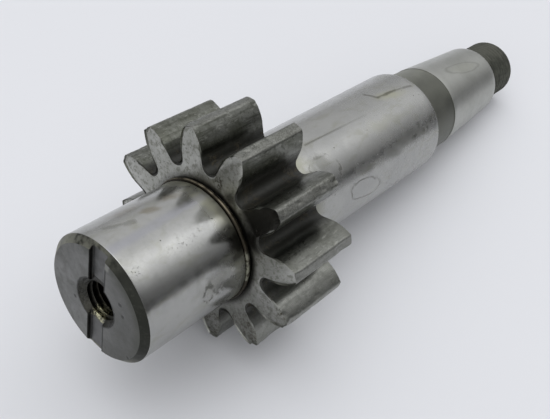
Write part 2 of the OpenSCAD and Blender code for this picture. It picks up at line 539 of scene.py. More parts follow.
class Look:
    """A node material for steel, with short names for the nodes that it is built from."""

    def __init__(self, name):
        self.material = bpy.data.materials.new(name)
        self.material.use_nodes = True
        self.tree = self.material.node_tree
        self.shader = self.tree.nodes["Principled BSDF"]
        place = self.node("TexCoord")
        scaled = self.node("VectorMath")
        scaled.operation = "SCALE"
        scaled.inputs["Scale"].default_value = 1 / MM
        self.tree.links.new(place.outputs["Object"], scaled.inputs[0])
        self.point = scaled.outputs["Vector"]
        parts = self.node("SeparateXYZ")
        self.tree.links.new(self.point, parts.inputs[0])
        self.x, self.y, self.z = parts.outputs
        self.r = self.calc("SQRT", self.add(self.times(self.y, self.y), self.times(self.z, self.z)))
        self.turn = self.calc("ARCTAN2", self.times(self.y, -1), self.z)
        flat = self.node("CombineXYZ")
        self.put(flat.inputs[0], self.x)
        self.put(flat.inputs[1], self.times(self.turn, JOURNAL_R))
        self.flat = flat.outputs[0]
        self.colour = None

    def node(self, kind):
        """A new node in the material."""
        return self.tree.nodes.new("ShaderNode" + kind)

    def put(self, socket, value):
        """Links or sets a socket, whichever the value asks for."""
        if isinstance(value, bpy.types.NodeSocket):
            self.tree.links.new(value, socket)
        elif isinstance(value, tuple) and len(value) == 3 and socket.type == "RGBA":
            socket.default_value = (*value, 1)
        else:
            socket.default_value = value

    def calc(self, operation, *values):
        """A math node."""
        node = self.node("Math")
        node.operation = operation
        for socket, value in zip(node.inputs, values):
            self.put(socket, value)
        return node.outputs[0]

    def vector(self, operation, a, b, output="Vector"):
        """A vector math node; its plain number comes out with output "Value"."""
        node = self.node("VectorMath")
        node.operation = operation
        self.put(node.inputs[0], a)
        self.put(node.inputs["Scale" if operation == "SCALE" else 1], b)
        return node.outputs[output]

    def add(self, a, b):
        """The sum of two values."""
        return self.calc("ADD", a, b)

    def times(self, a, b):
        """The product of two values."""
        return self.calc("MULTIPLY", a, b)

    def most(self, first, *others):
        """The largest of several values."""
        for other in others:
            first = self.calc("MAXIMUM", first, other)
        return first

    def remap(self, value, low, high, start=0.0, end=1.0):
        """start below low, end above high, and a smooth change between."""
        node = self.node("MapRange")
        node.interpolation_type = "SMOOTHSTEP"
        keys = "Value", "From Min", "From Max", "To Min", "To Max"
        for key, v in zip(keys, (value, low, high, start, end)):
            self.put(node.inputs[key], v)
        return node.outputs[0]

    def band(self, value, middle, half, soft):
        """1 within half of the middle, fading to 0 over soft."""
        away = self.calc("ABSOLUTE", self.calc("SUBTRACT", value, middle))
        return self.remap(away, half, half + soft, 1.0, 0.0)

    def stretched(self, per_mm, shift=0.0):
        """The point times a number of features per millimetre in each direction."""
        node = self.node("VectorMath")
        node.operation = "MULTIPLY_ADD"
        self.tree.links.new(self.point, node.inputs[0])
        node.inputs[1].default_value = per_mm if isinstance(per_mm, tuple) else (per_mm,) * 3
        node.inputs[2].default_value = (shift, shift * 0.7, -shift)
        return node.outputs[0]

    def noise(self, per_mm, detail=3.0, rough=0.55, shift=0.0, bend=0.0):
        """Cloudy noise about 0.5, with per_mm features in each millimetre."""
        node = self.node("TexNoise")
        node.inputs["Scale"].default_value = 1.0
        node.inputs["Detail"].default_value = detail
        node.inputs["Roughness"].default_value = rough
        node.inputs["Distortion"].default_value = bend
        self.tree.links.new(self.stretched(per_mm, shift), node.inputs["Vector"])
        return node.outputs["Fac"]

    def patches(self, low, high, *noise):
        """Noise cut into patches: 0 where it lies below low and 1 where it lies above high."""
        return self.remap(self.noise(*noise), low, high)

    def specks(self, per_mm, size, shift=0.0):
        """Small round spots: 1 in their middles and 0 between them."""
        node = self.node("TexVoronoi")
        node.inputs["Scale"].default_value = 1.0
        self.tree.links.new(self.stretched(per_mm, shift), node.inputs["Vector"])
        return self.remap(node.outputs["Distance"], 0.0, size, 1.0, 0.0)

    def wandering(self, value, wander, per_mm, shift):
        """Bends an outline: adds noise of up to about wander to a distance."""
        if not wander:
            return value
        ripple = self.calc("SUBTRACT", self.noise(per_mm, 3.0, 0.55, shift), 0.5)
        return self.add(value, self.times(ripple, 2 * wander))

    def near(self, centre, reach, soft, wander=0.0, per_mm=0.5, shift=0.0):
        """1 within reach of a point, and 0 past reach + soft."""
        away = self.vector("LENGTH", self.vector("SUBTRACT", self.point, centre), (0, 0, 0), "Value")
        return self.remap(self.wandering(away, wander, per_mm, shift), reach, reach + soft, 1.0, 0.0)

    def oval(self, x, angle, half_x, half_round, turn=0.0, wander=0.0, per_mm=0.4, shift=0.0):
        """Distance from the middle of an oval on the unrolled surface: 1 on its outline."""
        rel = self.vector("SUBTRACT", self.flat, unrolled(x, angle))
        c, d = cos(radians(turn)), sin(radians(turn))
        u = self.vector("DOT_PRODUCT", rel, (c / half_x, d / half_x, 0), "Value")
        v = self.vector("DOT_PRODUCT", rel, (-d / half_round, c / half_round, 0), "Value")
        length = self.calc("SQRT", self.add(self.times(u, u), self.times(v, v)))
        return self.wandering(length, wander, per_mm, shift)

    def stain(self, x, angle, half_x, half_round, turn=0.0, wander=0.3, per_mm=0.4, shift=0.0, soft=0.8):
        """A blotch on the unrolled surface: 1 in its middle."""
        outline = self.oval(x, angle, half_x, half_round, turn, wander, per_mm, shift)
        return self.remap(outline, 1 - soft, 1.0, 1.0, 0.0)

    def stains(self, *rows):
        """The strongest of several blotches. Each row is a strength and then what stain() takes."""
        return self.most(*(self.times(self.stain(*row), strength) for strength, *row in rows))

    def stroke(self, start, end, half, soft, wander=0.0, per_mm=0.5, shift=0.0):
        """A line on the unrolled surface: 1 within half of it, fading to 0 over soft."""
        a, b = Vector(unrolled(*start)), Vector(unrolled(*end))
        rel = self.vector("SUBTRACT", self.flat, a)
        t = self.vector("DOT_PRODUCT", rel, (b - a) / (b - a).length_squared, "Value")
        t = self.calc("MINIMUM", self.most(t, 0.0), 1.0)
        foot = self.vector("SCALE", tuple(b - a), t)
        away = self.vector("LENGTH", self.vector("SUBTRACT", rel, foot), (0, 0, 0), "Value")
        return self.remap(self.wandering(away, wander, per_mm, shift), half, half + soft, 1.0, 0.0)

    def blend(self, amount, under, over):
        """A mix of two colours."""
        node = self.node("Mix")
        node.data_type = "RGBA"
        self.put(node.inputs["Factor"], amount)
        self.put(node.inputs["A"], under)
        self.put(node.inputs["B"], over)
        return node.outputs["Result"]

    def ground(self, amount, first, second):
        """The bare metal's colour, a mix of two."""
        self.colour = self.blend(amount, first, second)

    def tint(self, mask, strength, colour):
        """Lays a colour over what is there already."""
        self.colour = self.blend(self.times(mask, strength), self.colour, colour)

    def finish(self, roughness, *layers, metallic=1.0):
        """Wires the shader and a chain of bumps, whose layers are (height, depth in millimetres)."""
        self.put(self.shader.inputs["Base Color"], self.colour)
        self.put(self.shader.inputs["Roughness"], roughness)
        self.put(self.shader.inputs["Metallic"], metallic)
        onwards = self.shader.inputs["Normal"]
        for height, depth in reversed(layers):
            node = self.node("Bump")
            node.inputs["Strength"].default_value = 1.0
            node.inputs["Distance"].default_value = depth * MM
            self.put(node.inputs["Height"], height)
            self.put(onwards, node.outputs["Normal"])
            onwards = node.inputs["Normal"]
        return self.material


def unrolled(x, angle):
    """A place on the unrolled shaft. The angle counts from +Y towards +Z, in degrees."""
    return (x, radians(angle - 90) * JOURNAL_R, 0)


def journal_look():
    """Ground and oiled bearing steel with grinding lines, pits, a scratch and dried oil; also painted light
    and shade: oil lighter on top, a bluish reflection, and black beside the pinion.
    """
    look = Look("ground_journal")
    fine = look.noise((9.0, 0.25, 0.25), 3.0, 0.6)
    coarse = look.noise((1.6, 0.05, 0.05), 2.0, 0.5, 3.0)
    mottle = look.noise(0.55, 3.0, 0.6, 5.0)
    film = look.noise((0.16, 0.35, 0.35), 3.0, 0.55, 15.0, 0.6)
    swell = look.noise(0.5, 2.0, 0.5, 57.0)
    look.ground(look.patches(0.35, 0.7, 0.09, 4.0, 0.6, 11.0), (0.385, 0.385, 0.368), (0.34, 0.341, 0.33))
    spots = look.times(look.remap(mottle, 0.5, 0.75), look.remap(look.x, 18.0, 40.0, 0.4, 0.15))
    look.tint(spots, 1.0, (0.29, 0.295, 0.27))
    look.tint(look.remap(film, 0.5, 0.72), 0.45, (0.285, 0.285, 0.235))

    front = look.remap(look.x, FRONT_GROOVE_X - 6.0, FRONT_GROOVE_X - 0.3)
    rear = look.remap(look.x, REAR_GROOVE_X + 8.0, REAR_GROOVE_X + 1.0)
    by_groove = look.most(look.times(front, look.remap(look.x, 0.0, -1.0)),
                          look.times(rear, look.remap(look.x, 0.0, 1.0)))
    oil = look.most(
        look.times(by_groove, look.patches(0.3, 0.6, 0.3, 4.0, 0.6, 21.0)),
        look.times(look.stroke((-13.4, 94), (-12.4, 116), 0.6, 2.2, 1.0, 0.5, 23.0), 0.9),
        look.stains((0.9, 58.5, 97, 8.5, 2.6, 12, 0.4, 0.3, 25.0, 1.0),
                    (0.4, 47.0, 122, 9.0, 3.0, 8, 0.5, 0.3, 26.0, 1.0)))
    # The oil's colour is painted lighter towards the top as light, and darker further round as shade.
    look.tint(oil, 0.7, look.blend(look.remap(look.turn, 0.2, 1.0), (0.40, 0.395, 0.29), (0.25, 0.245, 0.18)))
    # Painted shade: near-black beside the pinion on the journal's -Y side, where its dark reflection deepens.
    painted_shade_by_pinion = look.stains((1.0, -11.4, 143, 5.5, 5.2, 0, 0.5, 0.4, 27.0, 0.7),
                       (0.8, -12.5, 154, 4.5, 1.6, -8, 0.4, 0.5, 28.0, 0.8))
    look.tint(painted_shade_by_pinion, 0.9, (0.022, 0.021, 0.016))
    # Painted reflection: a faint bluish band along the journal's top.
    painted_blue_reflection = look.stroke((-39.0, 98.8), (-13.0, 95.8), 0.3, 1.5, 0.3, 0.3, 29.0)
    look.tint(painted_blue_reflection, 0.45, (0.30, 0.302, 0.345))
    brown = look.stains((1.0, -24.3, 82, 3.4, 1.6, 20, 0.5, 0.5, 31.0),
                        (1.0, -18.0, 79, 4.0, 1.8, 15, 0.5, 0.5, 32.0),
                        (0.6, -28.0, 66, 6.0, 2.4, 0, 0.5, 0.4, 33.0))
    look.tint(brown, 0.5, (0.17, 0.135, 0.075))
    smears = look.most(
        look.stains((1.0, 47.5, 153, 6.0, 2.4, 20, 0.6, 0.3, 34.0),
                    (1.0, 35.0, 151, 7.0, 1.8, 12, 0.6, 0.3, 35.0),
                    (1.0, 20.5, 124, 5.0, 4.0, 0, 0.6, 0.5, 36.0),
                    (1.0, -20.0, 165, 9.0, 4.0, -10, 0.6, 0.4, 38.0),
                    (1.0, 57.0, 147, 13.0, 2.2, 4, 0.8, 0.3, 39.0)),
        look.stroke((-35.0, 75), (-29.5, 85), 0.2, 0.8, 1.2, 0.4, 37.0))
    look.tint(smears, 0.4, (0.13, 0.13, 0.108))

    scratch = look.stroke((20.8, 100.7), (45.0, 104.1), 0.02, 0.45, 0.12, 0.3, 44.0)
    ring = look.band(look.oval(34.2, 170.5, 6.6, 2.7, 14, 0.32, 0.35, 45.0), 1.0, 0.01, 0.11)
    patch = look.band(look.oval(21.5, 131, 5.0, 3.6, 20, 0.5, 0.35, 46.0), 1.0, 0.02, 0.1)
    cracks = look.most(
        look.times(look.stroke((52.7, 81), (54.3, 93.2), 0.05, 0.7, 0.5, 0.7, 41.0), 0.6),
        look.times(look.stroke((54.3, 93.2), (62.0, 95.6), 0.05, 0.7, 0.5, 0.7, 42.0), 0.65),
        look.times(look.stroke((62.0, 95.6), (68.0, 100.3), 0.0, 0.7, 0.5, 0.7, 43.0), 0.5),
        look.times(scratch, look.remap(look.x, 46.0, 24.0, 0.1, 0.5)),
        look.times(ring, look.remap(look.noise(0.35, 3.0, 0.6, 48.0), 0.35, 0.6, 0.15, 0.5)),
        look.times(patch, look.remap(look.noise(0.3, 3.0, 0.6, 47.0), 0.4, 0.6, 0.0, 0.4)))
    look.tint(cracks, 1.0, (0.055, 0.052, 0.035))

    clusters = look.stains((1.0, -37.3, 122, 2.2, 2.6), (1.0, -19.8, 119, 3.4, 2.0),
                           (1.0, -25.5, 122, 4.5, 2.2))
    marks = look.stains((1.0, -22.1, 164, 0.7, 1.3, 0, 0.3, 1.0, 52.0, 0.5),
                        (1.0, 60.4, 141, 2.2, 1.3, 0, 0.5, 0.6, 53.0),
                        (1.0, 63.6, 149, 2.4, 1.6), (1.0, 58.0, 149, 2.0, 1.2),
                        (1.0, 68.5, 145, 1.4, 2.6), (1.0, -19.6, 175.5, 2.2, 1.6, 30))
    arcs = look.band(look.oval(-22.6, 172.5, 1.5, 1.9, 0, 0.5, 0.6, 54.0), 1.0, 0.08, 0.2)
    arcs = look.times(arcs, look.patches(0.45, 0.55, 0.7, 3.0, 0.6, 55.0))
    marks = look.most(look.times(marks, look.patches(0.4, 0.6, 0.8, 4.0, 0.6, 51.0)), look.times(arcs, 0.8))
    pits = look.most(
        look.times(look.specks(0.33, 0.085, 2.0), look.patches(0.42, 0.55, 0.07, 2.0, 0.5, 9.0)),
        look.times(look.times(clusters, look.patches(0.6, 0.7, 2.4, 3.0, 0.6, 7.0)), 0.6),
        look.times(marks, 0.8))
    look.tint(pits, 0.85, (0.05, 0.05, 0.04))

    damage = look.most(pits, cracks)
    rough = look.add(look.remap(swell, 0.3, 0.7, 0.17, 0.25),
                     look.most(look.times(oil, 0.22), look.times(smears, 0.1)))
    rough = look.add(rough, look.times(damage, 0.25))
    rough = look.add(rough, look.times(look.remap(look.x, 20.0, 60.0), 0.05))
    far = look.remap(look.x, 18.0, 40.0, 1.0, 0.0)
    faded = ((fine, 0.0014), (coarse, 0.0012), (film, 0.008), (mottle, 0.004))
    layers = [(look.times(height, far), depth) for height, depth in faded]
    return look.finish(rough, *layers, (swell, 0.006), (look.times(damage, -1.0), 0.04))


def across_slot(look):
    """Distance from the middle plane of the slot, positive towards +Y."""
    return look.add(look.times(look.y, cos(SLOT_TURN)), look.times(look.z, sin(SLOT_TURN)))


def end_face_look():
    """The slotted end: turned, then worn and darkened, with painted shade along the slot's edge and round the
    hole's mouth.
    """
    look = Look("end_face")
    rings = look.noise((0.05, 1.3, 1.3), 3.0, 0.6)
    cloud = look.noise(0.16, 4.0, 0.6, 4.0)
    look.ground(look.remap(cloud, 0.35, 0.7), (0.205, 0.205, 0.20), (0.165, 0.167, 0.16))
    look.tint(look.remap(look.y, 3.0, -8.0), 0.6, (0.085, 0.086, 0.08))
    look.tint(look.patches(0.45, 0.7, 1.1, 5.0, 0.7, 6.0), 0.35, (0.09, 0.092, 0.082))
    outer = look.wandering(look.r, 1.2, 0.3, 11.0)
    rim = look.times(look.remap(outer, 10.5, 13.2), look.remap(look.turn, 2.6, 1.2, 0.35, 1.0))
    look.tint(look.times(rim, look.remap(look.turn, -0.5, 0.1, 0.3, 1.0)), 0.75, (0.065, 0.067, 0.055))
    look.tint(look.patches(0.52, 0.64, (0.3, 0.28, 0.28), 4.0, 0.6, 12.0, 0.5), 0.4, (0.10, 0.10, 0.09))
    # Painted shade: a dark line on the face by the slot's -Y edge and a dark ring round the hole's mouth.
    edge = look.times(look.band(across_slot(look), -SLOT_W / 2 - 0.25, 0.12, 0.2), 0.85)
    by_hole = look.wandering(look.r, 0.2, 0.9, 10.0)
    mouth = look.remap(by_hole, HOLE_MOUTH_R + 0.5, HOLE_MOUTH_R + 0.1, 0.0, 0.8)
    look.tint(look.most(edge, mouth), 1.0, (0.02, 0.02, 0.018))
    look.tint(look.near((FRONT_X, -3.0, 12.4), 0.6, 1.0, 0.6, 0.8, 9.0), 0.7, (0.28, 0.28, 0.26))
    places = (-8.4, 2.6), (-10.3, -8.1), (-5.6, 1.4), (6.5, -3.0)
    pits = look.most(look.times(look.specks(0.5, 0.13, 7.0), 0.7),
                     look.near((FRONT_X, -7.5, 5.3), 0.25, 0.5, 0.3, 1.0),
                     *(look.near((FRONT_X, *place), 0.2, 0.45, 0.3, 1.0) for place in places))
    look.tint(pits, 0.75, (0.04, 0.04, 0.038))
    return look.finish(look.remap(cloud, 0.3, 0.7, 0.40, 0.52), (rings, 0.01),
                       (look.noise(2.2, 4.0, 0.7, 2.0), 0.01), (look.times(pits, -1.0), 0.06))


def end_bevel_look():
    """The bevel: blackened, and rubbed to olive at the top."""
    look = Look("end_bevel")
    cloud = look.noise(0.3, 4.0, 0.6, 14.0)
    fine = look.noise(1.2, 5.0, 0.7, 16.0)
    top = look.times(look.remap(look.turn, 0.55, -0.25), look.remap(cloud, 0.3, 0.55))
    rubbed = look.most(top, look.times(look.remap(look.turn, 2.0, 2.5), 0.5))
    look.ground(rubbed, (0.032, 0.033, 0.028), (0.25, 0.25, 0.205))
    look.tint(look.remap(fine, 0.5, 0.7), 0.4, (0.07, 0.072, 0.06))
    return look.finish(look.remap(cloud, 0.3, 0.7, 0.42, 0.58), (fine, 0.03))


def slot_look():
    """The slot: a worn floor, with painted shade: near-black walls and a floor that darkens towards them."""
    look = Look("slot_wall")
    cloud = look.noise(0.4, 4.0, 0.6, 31.0)
    lines = look.noise((0.6, 4.0, 0.15), 3.0, 0.6)
    floor_x = FRONT_X + SLOT_DEPTH
    look.ground(look.remap(cloud, 0.35, 0.65), (0.095, 0.095, 0.092), (0.14, 0.14, 0.138))
    # Painted shade: the floor darkens towards the walls, and the walls themselves are near-black.
    away = look.wandering(look.calc("ABSOLUTE", across_slot(look)), 0.25, 0.7, 33.0)
    look.tint(look.remap(away, SLOT_W / 2 - 0.5, SLOT_W / 2 - 0.1), 0.85, (0.02, 0.02, 0.018))
    look.tint(look.remap(look.x, floor_x - 0.5, floor_x - 0.15, 1.0, 0.0), 1.0, (0.018, 0.018, 0.016))
    return look.finish(0.45, (lines, 0.012), (cloud, 0.03))


def hole_look():
    """Near-black threads as painted shade deep in the hole, with a painted brassy highlight low down and
    painted light near the mouth.
    """
    look = Look("tapped_threads")
    cloud = look.noise(0.5, 4.0, 0.6, 41.0)
    fine = look.noise((2.5, 2.5, 2.5), 5.0, 0.7, 43.0)
    # Painted shade: near-black threads for the shade inside the hole.
    look.ground(look.remap(cloud, 0.4, 0.7), (0.016, 0.015, 0.013), (0.04, 0.038, 0.03))
    weave = look.most(look.patches(0.48, 0.58, (3.5, 1.0, 1.0), 2.0, 0.5, 45.0), look.remap(fine, 0.5, 0.6))
    # Painted highlight: a brassy spot low down where the threads catch the light.
    painted_glint = look.near((FRONT_X + 1.8, 0.2, -4.8), 1.1, 1.7, 0.8, 0.8, 44.0)
    look.tint(painted_glint, weave, (0.62, 0.60, 0.40))
    # Painted light: lighter grey on the +Y side of the mouth.
    mouth = look.times(look.remap(look.y, 1.5, 3.5), look.remap(look.x, FRONT_X + 4.0, FRONT_X + 0.6))
    look.tint(mouth, look.remap(fine, 0.4, 0.6, 0.2, 0.7), (0.07, 0.07, 0.063))
    # Painted light: a lighter patch on the lower wall near the mouth.
    look.tint(look.near((FRONT_X + 1.2, -2.6, -4.2), 0.8, 1.6, 0.4, 0.8, 46.0), 0.5, (0.07, 0.072, 0.062))
    return look.finish(look.remap(cloud, 0.3, 0.7, 0.3, 0.45), (fine, 0.03))


def groove_look():
    """The ring grooves and the pinion's seat: brown with old grease."""
    look = Look("groove_floor")
    look.ground(look.patches(0.4, 0.6, 0.5, 4.0, 0.6, 51.0), (0.05, 0.045, 0.035), (0.13, 0.10, 0.065))
    return look.finish(0.6, (look.noise(1.5, 4.0), 0.02))


def band_look():
    """The dark turned band, with its tool marks round the shaft."""
    look = Look("turned_band")
    tool = look.noise((7.0, 0.08, 0.08), 2.0, 0.5, 3.0)
    cloud = look.noise(0.22, 4.0, 0.6, 61.0)
    look.ground(look.remap(cloud, 0.35, 0.65), (0.20, 0.203, 0.172), (0.26, 0.263, 0.225))
    look.tint(look.specks(0.8, 0.2, 4.0), 0.4, (0.24, 0.24, 0.20))
    # Painted shade: the band darkens away from its top.
    look.tint(look.remap(look.turn, -0.25, 0.3), 0.65, (0.075, 0.077, 0.064))
    return look.finish(look.remap(cloud, 0.3, 0.7, 0.4, 0.5), (tool, 0.015), (cloud, 0.02))


def taper_look():
    """The ground taper, with the faint outline of a dried drop."""
    look = Look("ground_taper")
    fine = look.noise((8.0, 0.2, 0.2), 3.0, 0.6, 7.0)
    mottle = look.noise(0.6, 5.0, 0.65, 72.0)
    look.ground(look.patches(0.35, 0.7, 0.12, 4.0, 0.6, 71.0), (0.40, 0.402, 0.375), (0.35, 0.353, 0.325))
    look.tint(look.remap(mottle, 0.5, 0.8), 0.4, (0.29, 0.295, 0.26))
    drop = look.oval(98.2, 107.5, 8.3, 2.4, 13, 0.16, 0.3, 73.0)
    look.tint(look.band(drop, 1.0, 0.02, 0.16), 0.28, (0.12, 0.12, 0.09))
    look.tint(look.remap(drop, 1.0, 0.6), 0.3, (0.33, 0.33, 0.27))
    return look.finish(look.remap(mottle, 0.3, 0.7, 0.28, 0.36), (fine, 0.003), (mottle, 0.006))


def tail_look():
    """The blackened thread and its relief, painted lighter on top as light."""
    look = Look("blackened_thread")
    cloud = look.noise(0.35, 4.0, 0.6, 81.0)
    look.ground(look.remap(cloud, 0.35, 0.65), (0.06, 0.062, 0.052), (0.11, 0.112, 0.094))
    # Painted light: the thread lighter on its top.
    look.tint(look.remap(look.turn, 0.6, -0.3), 0.7, (0.19, 0.192, 0.162))
    return look.finish(look.remap(cloud, 0.3, 0.7, 0.42, 0.55), (look.noise(2.0, 4.0), 0.01))


def on_gear(angle, r):
    """A point on the pinion's front face."""
    return (-HALF_FACE, *polar(r, radians(angle)))


def pinion_face_look():
    """The ends of the teeth: pitted, scratched and oily, darkest by the shaft; the dark there is partly grime
    and partly painted reflection and shade.
    """
    look = Look("pinion_face")
    mottle = look.noise(0.8, 5.0, 0.7, 92.0)
    fine = look.noise(2.6, 5.0, 0.7, 95.0)
    scratch = look.patches(0.62, 0.7, (0.3, 2.6, 0.22), 3.0, 0.6, 94.0)
    look.ground(look.patches(0.35, 0.65, 0.13, 5.0, 0.6, 91.0), (0.46, 0.46, 0.435), (0.33, 0.332, 0.305))
    look.tint(look.remap(mottle, 0.48, 0.62), 0.7, (0.16, 0.162, 0.132))
    look.tint(look.remap(fine, 0.5, 0.7), 0.4, (0.14, 0.142, 0.12))
    look.tint(scratch, 0.4, (0.50, 0.50, 0.48))
    # Painted shade: the face darker on its -Y side.
    look.tint(look.remap(look.turn, 0.9, 2.3), 0.55, (0.11, 0.112, 0.10))
    # Painted reflection: near-black on the -Y side where the face mirrors the shaft's dark underside; the
    # dark ring by the bore is partly painted reflection and partly grime.
    half, soft = radians(9), radians(5)
    painted_reflection_wedge = look.band(look.wandering(look.turn, 0.04, 0.4, 96.0), radians(45), half, soft)
    dark = look.most(
        look.times(painted_reflection_wedge, look.remap(look.r, 17.0, 19.0, 0.5, 0.97)),
        look.times(look.near(on_gear(147, 17.0), 1.0, 4.0, 1.0, 0.4, 97.0), 0.93),
        look.times(look.near(on_gear(113, 17.2), 0.3, 3.0, 1.0, 0.4, 98.0), 0.8),
        look.times(look.remap(look.r, 17.4, 15.6), look.remap(look.turn, -0.7, 0.6, 0.45, 0.95)))
    look.tint(dark, 1.0, (0.018, 0.017, 0.014))
    low = look.times(look.remap(look.turn, 1.6, 2.2), look.remap(look.r, 18.0, 22.0))
    crust = look.most(
        look.near(on_gear(120, 20.5), 0.8, 2.2, 1.2, 0.7, 99.0),
        look.near(on_gear(100, 18.4), 0.4, 1.4, 1.0, 0.8, 88.0),
        look.times(look.near(on_gear(188, 26.0), 1.0, 2.5, 1.2, 0.8, 89.0), 0.8),
        look.times(low, look.remap(look.noise(0.4, 4.0, 0.6, 86.0), 0.4, 0.55, 0.0, 0.7)))
    gunk = look.most(look.times(crust, look.patches(0.42, 0.58, 1.5, 5.0, 0.7, 87.0)),
                     look.near(on_gear(-150, 20.6), 0.9, 0.7, 0.6, 0.9, 85.0))
    look.tint(gunk, 1.0, (0.055, 0.045, 0.022))
    pits = look.times(look.specks(0.7, 0.22, 3.0), look.patches(0.42, 0.6, 0.25, 3.0, 0.6, 93.0))
    pits = look.most(pits, look.times(gunk, 0.5))
    look.tint(pits, 1.0, (0.05, 0.05, 0.04))
    rough = look.add(look.remap(mottle, 0.3, 0.7, 0.34, 0.46), look.times(pits, 0.2))
    cuts = (look.times(pits, -1.0), 0.12), (look.times(scratch, -1.0), 0.02)
    return look.finish(rough, (mottle, 0.035), (fine, 0.02), *cuts)


def flank_look():
    """The tooth flanks: oily grey satin on the working part, black in the roots as painted shade, rubbed at
    the tips, and painted lighter on the lower -Y side.
    """
    look = Look("tooth_flank")
    along = look.noise((0.12, 2.4, 2.4), 3.0, 0.6, 102.0)
    mottle = look.noise(0.9, 5.0, 0.7, 103.0)
    fine = look.noise(3.0, 5.0, 0.7, 106.0)
    look.ground(look.patches(0.35, 0.65, 0.16, 4.0, 0.6, 101.0), (0.175, 0.178, 0.16), (0.115, 0.118, 0.098))
    look.tint(look.remap(mottle, 0.48, 0.66), 0.65, (0.06, 0.062, 0.048))
    look.tint(look.patches(0.5, 0.62, (0.1, 1.1, 1.1), 4.0, 0.65, 111.0), 0.5, (0.05, 0.051, 0.04))
    scuffs = look.patches(0.56, 0.68, (0.5, 1.8, 0.9), 4.0, 0.65, 107.0)
    look.tint(look.times(scuffs, look.remap(look.r, 22.5, 25.5)), 0.5, (0.33, 0.33, 0.30))
    # Painted light: the flanks lighter on the lower -Y side.
    look.tint(look.remap(look.turn, 0.9, 1.5), 0.35, (0.32, 0.323, 0.30))
    # Painted shade: black down in the roots of the tooth spaces.
    root = look.remap(look.wandering(look.r, 0.7, 0.35, 108.0), 23.4, 20.2)
    look.tint(root, 0.95, (0.016, 0.016, 0.012))
    gunk = look.most(look.near((-7.0, -11.0, 18.6), 1.2, 3.0, 1.5, 0.6, 109.0),
                     look.times(root, look.patches(0.5, 0.65, 0.35, 5.0, 0.65, 104.0)))
    gunk = look.times(gunk, look.patches(0.42, 0.6, 1.4, 5.0, 0.7, 105.0))
    look.tint(gunk, 1.0, (0.05, 0.042, 0.024))
    tip = look.remap(look.wandering(look.r, 0.25, 0.8, 110.0), TIP_R - 0.45, TIP_R - 0.12)
    look.tint(tip, look.remap(fine, 0.4, 0.6, 0.1, 0.7), (0.27, 0.27, 0.25))
    dull = look.most(look.times(gunk, 0.3), look.times(root, 0.2), look.times(tip, 0.12))
    rough = look.add(look.remap(mottle, 0.3, 0.7, 0.26, 0.38), dull)
    crust = look.times(gunk, look.noise(1.5, 5.0, 0.7))
    return look.finish(rough, (along, 0.01), (mottle, 0.02), (fine, 0.008), (crust, 0.12),
                       metallic=look.remap(root, 0.2, 1.0, 1.0, 0.35))


def ring_look():
    """Snap-ring wire: black and greasy, with a painted tan highlight along its crest above and an olive burr
    at the side.
    """
    look = Look("ring_wire")
    cloud = look.noise(0.45, 4.0, 0.6, 111.0)
    # Painted highlight: a tan line along the top of the wire, fading on the -Y side.
    crest = look.remap(look.r, RING_R + 0.33, RING_R + 0.5)
    crest = look.times(crest, look.remap(cloud, 0.35, 0.6, 0.1, 0.9))
    crest = look.times(crest, look.remap(look.turn, 0.35, 0.75, 1.0, 0.15))
    look.ground(crest, (0.03, 0.026, 0.019), (0.27, 0.235, 0.17))
    burr = look.band(look.turn, radians(81), radians(11), radians(7))
    look.tint(look.times(burr, look.patches(0.42, 0.56, 1.1, 4.0, 0.65, 112.0)), 0.8, (0.27, 0.27, 0.21))
    return look.finish(look.remap(cloud, 0.3, 0.7, 0.4, 0.55), (look.noise(2.0, 4.0), 0.03))


def key_look():
    """Bright drawn steel, with its grain along the key."""
    look = Look("key_steel")
    grain = look.noise((0.2, 3.0, 3.0), 3.0, 0.6, 121.0)
    look.ground(look.remap(grain, 0.3, 0.7), (0.36, 0.36, 0.35), (0.28, 0.28, 0.27))
    return look.finish(look.remap(grain, 0.3, 0.7, 0.35, 0.45), (grain, 0.01))


def shaft_region(x, r, normal_x):
    """Which of the shaft's finishes a face has, from where it lies."""
    if x < FRONT_X + 0.02 and abs(normal_x) > 0.9:
        return "end_face"
    if r < HOLE_MOUTH_R + 0.3 and x < HOLE_END_X + 5:
        return "hole"
    if x < FRONT_X + SLOT_DEPTH + 0.05 and r < JOURNAL_R - END_BEVEL - 0.4:
        return "slot"
    if x < BEVEL_END_X - 0.03:
        return "bevel" if r + (BEVEL_END_X - x) > JOURNAL_R - 0.12 else "slot"
    if x < BEVEL_END_X + 0.1 and abs(normal_x) > 0.9:
        return "slot"
    if r < JOURNAL_R - 0.1 and FRONT_GROOVE_X - 0.3 < x < REAR_GROOVE_X + 0.5:
        return "groove"
    if x < BAND_X - 0.01:
        return "journal"
    if x < TAPER_X:
        return "band"
    if x < TAPER_END_X + 0.05 and r > TAPER_END_R - 2.5:
        return "taper"
    return "tail"


SHAFT_LOOKS = {
    "journal": journal_look, "end_face": end_face_look, "bevel": end_bevel_look, "slot": slot_look,
    "hole": hole_look, "groove": groove_look, "band": band_look, "taper": taper_look, "tail": tail_look,
}


def paint_shaft(obj):
    """Gives each face of the shaft its own finish."""
    names = list(SHAFT_LOOKS)
    set_materials(obj, *(SHAFT_LOOKS[name]() for name in names))
    for face in obj.data.polygons:
        centre = face.center / MM
        region = shaft_region(centre.x, hypot(centre.y, centre.z), face.normal.x)
        face.material_index = names.index(region)


def paint_pinion(obj):
    """Gives the ends of the teeth one finish, and the flanks, tips and bore the other."""
    set_materials(obj, pinion_face_look(), flank_look())
    for face in obj.data.polygons:
        face.material_index = 0 if abs(face.normal.x) > 0.9 else 1


shaft = build_shaft()
paint_shaft(shaft)
pinion = build_pinion()
paint_pinion(pinion)
wire = ring_look()
front_ring = build_ring("front_snap_ring", (FRONT_GROOVE_X - HALF_FACE) / 2, wire)
rear_ring = build_ring("rear_snap_ring", (HALF_FACE + REAR_GROOVE_X) / 2, wire)

